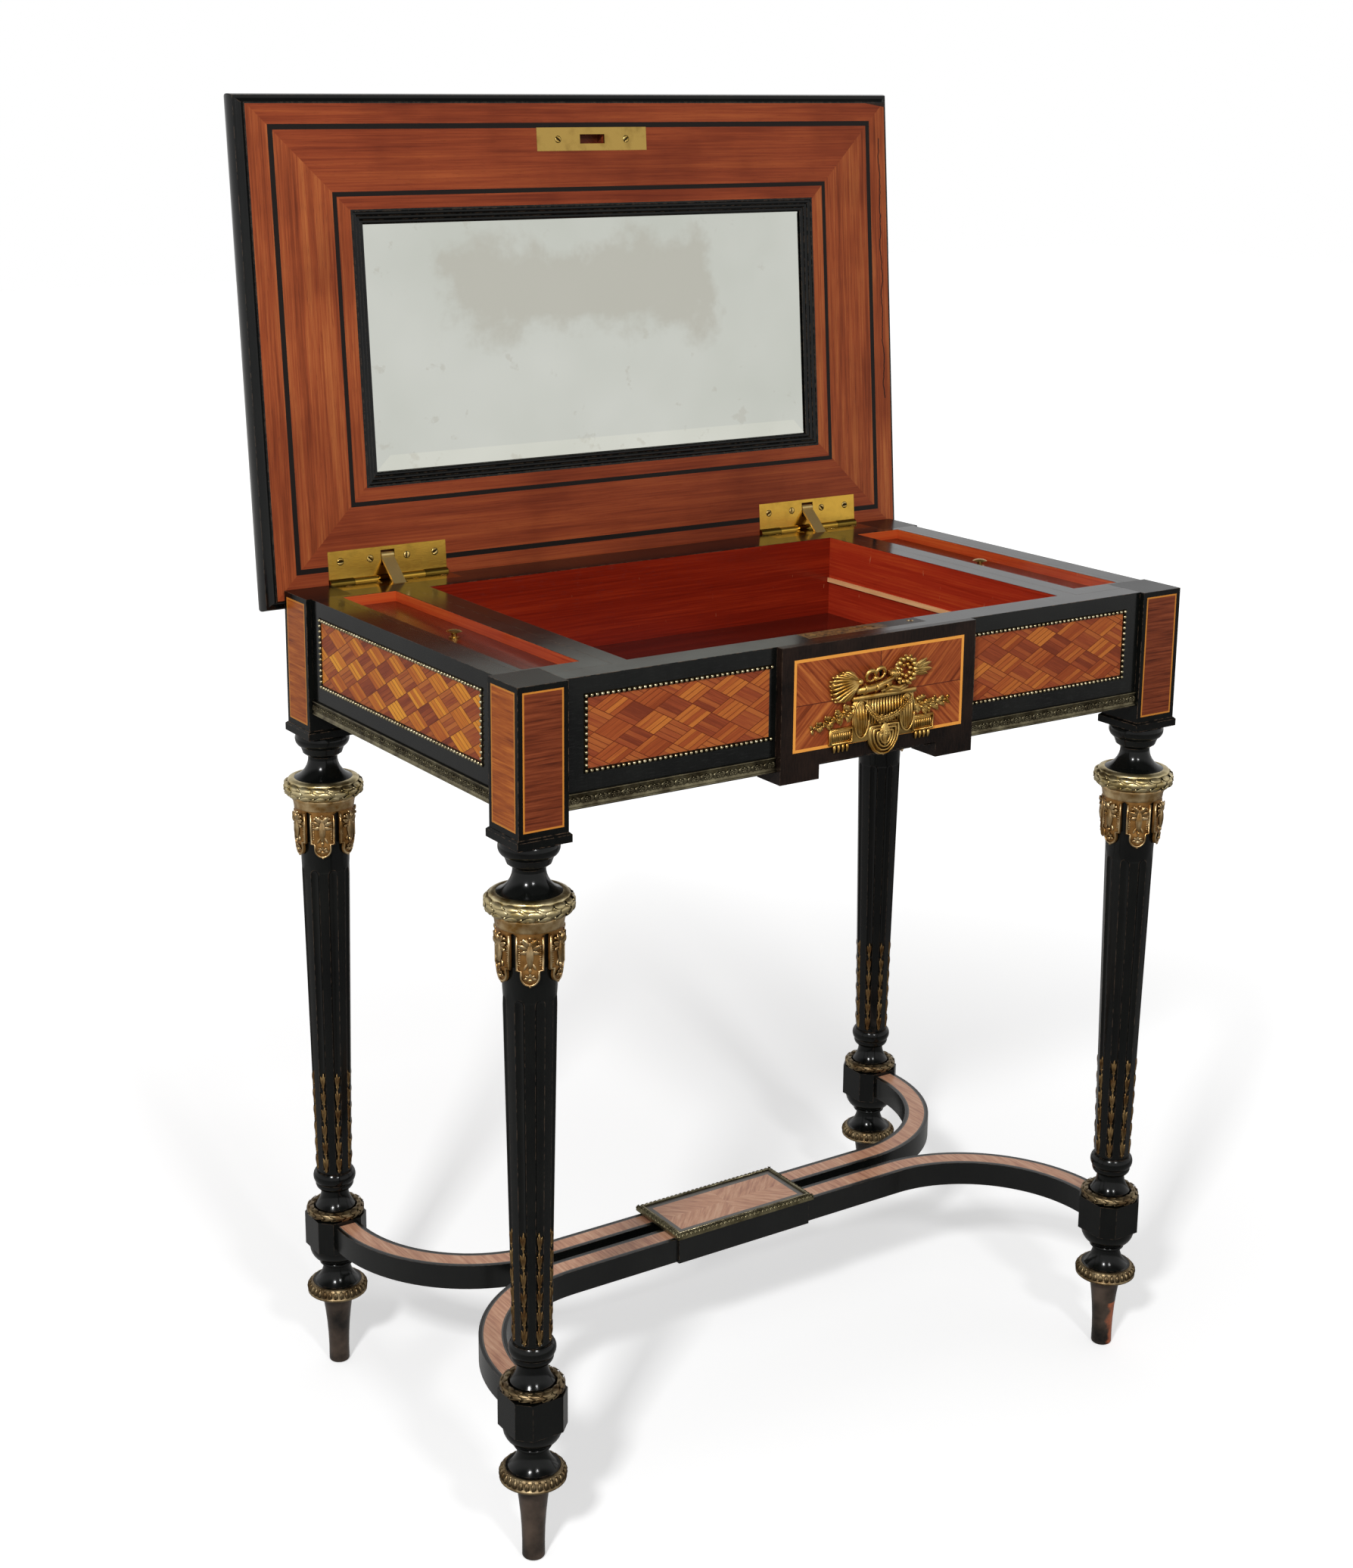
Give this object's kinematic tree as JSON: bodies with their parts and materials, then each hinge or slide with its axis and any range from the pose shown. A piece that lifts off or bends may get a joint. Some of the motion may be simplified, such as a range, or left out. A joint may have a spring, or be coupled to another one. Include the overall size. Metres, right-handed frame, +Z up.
{
  "type": "writing desk",
  "caption": "Small ebonised writing desk with a hinged mirror lid, lift-out side tills, parquetry frieze, gilt bronze mounts and fluted legs on a bowed stretcher",
  "frame": {"origin": "on the floor, below the middle of the open desk's outline; the middle of the case is 24.7 mm in front of it", "axes": "X to the right, Y to the back, Z up; the front with the keyhole and the mount faces -Y; the lid stands open"},
  "size_m": [0.69, 0.4717, 1.134],
  "materials": {
    "ebonised_wood": "french polish, worn at the edges",
    "mahogany": "satin polish",
    "kingwood": "satin polish",
    "parquetry": "satin polish",
    "pale_wood": "bare",
    "gilt_bronze": "aged gilding",
    "brass": "polished",
    "lock_steel": "tarnished",
    "mirror_glass": "aged silvering"
  },
  "bodies": {
    "case": {"leg_front_left": "ebonised_wood", "laurel_ring_front_left": "gilt_bronze", "lappet_collar_front_left": "gilt_bronze", "post_front_left": "kingwood", "leg_front_right": "ebonised_wood", "laurel_ring_front_right": "gilt_bronze", "lappet_collar_front_right": "gilt_bronze", "post_front_right": "kingwood", "leg_back_left": "ebonised_wood", "laurel_ring_back_left": "gilt_bronze", "lappet_collar_back_left": "gilt_bronze", "post_back_left": "kingwood", "leg_back_right": "ebonised_wood", "laurel_ring_back_right": "gilt_bronze", "lappet_collar_back_right": "gilt_bronze", "post_back_right": "kingwood", "block_rings": "gilt_bronze", "gadroon_rings": "gilt_bronze", "parquetry_front_left": "parquetry", "parquetry_front_right": "parquetry", "parquetry_left": "parquetry", "parquetry_right": "parquetry", "parquetry_back": "parquetry", "bead_frames": "gilt_bronze", "frieze_strips": "gilt_bronze", "rail_front": "ebonised_wood", "rail_back": "ebonised_wood", "rail_left": "ebonised_wood", "rail_right": "ebonised_wood", "case_bottom": "mahogany", "partition_left": "mahogany", "partition_right": "mahogany", "tray_runners": "pale_wood", "hinge_case_leaf_left": "brass", "hinge_case_leaf_right": "brass", "tablet": "kingwood", "tablet_mount": "gilt_bronze", "lock_case": "lock_steel", "stretcher_front": "ebonised_wood", "stretcher_back": "ebonised_wood", "platform": "kingwood", "platform_moulding": "gilt_bronze"},
    "lid": {"lid_panel": "mahogany", "lid_moulding": "ebonised_wood", "mirror_frame": "ebonised_wood", "mirror_glass": "mirror_glass", "strike_plate": "brass", "hinge_lid_leaf_left": "brass", "hinge_lid_leaf_right": "brass"},
    "stop_arm_left": {"stop_arm_left": "brass"},
    "stop_arm_right": {"stop_arm_right": "brass"},
    "till_left": {"till_left": "ebonised_wood"},
    "till_right": {"till_right": "ebonised_wood"},
    "till_cover_left": {"till_cover_left": "mahogany", "knob_left": "brass"},
    "till_cover_right": {"till_cover_right": "mahogany", "knob_right": "brass"},
    "lock_bolt": {"lock_bolt": "brass"}
  },
  "joints": [
    {"name": "lid_hinge", "type": "hinge", "parent": "case", "child": "lid", "pos_m": [0, 0.1743, 0.7222], "axis": [-1, 0, 0], "range_deg": [-94.8, 0]},
    {"name": "stop_arm_left_pin", "type": "hinge", "parent": "lid", "child": "stop_arm_left", "pos_m": [-0.2292, 0.17847, 0.74192], "axis": [-1, 0, 0], "range_deg": [0, 45.5]},
    {"name": "stop_arm_right_pin", "type": "hinge", "parent": "lid", "child": "stop_arm_right", "pos_m": [0.2292, 0.17847, 0.74192], "axis": [-1, 0, 0], "range_deg": [0, 45.5]},
    {"name": "till_left_lift", "type": "slide", "parent": "case", "child": "till_left", "axis": [0, 0, 1], "range_m": [0, 0.08]},
    {"name": "till_right_lift", "type": "slide", "parent": "case", "child": "till_right", "axis": [0, 0, 1], "range_m": [0, 0.08]},
    {"name": "till_cover_left_lift", "type": "slide", "parent": "till_left", "child": "till_cover_left", "axis": [0, 0, 1], "range_m": [0, 0.06]},
    {"name": "till_cover_right_lift", "type": "slide", "parent": "till_right", "child": "till_cover_right", "axis": [0, 0, 1], "range_m": [0, 0.06]},
    {"name": "lock_bolt_slide", "type": "slide", "parent": "case", "child": "lock_bolt", "axis": [0, 0, 1], "range_m": [0, 0.008]}
  ],
  "couplings": [
    {"joint": "stop_arm_left_pin", "follows": "lid_hinge", "ratio": -0.479},
    {"joint": "stop_arm_right_pin", "follows": "lid_hinge", "ratio": -0.479}
  ]
}
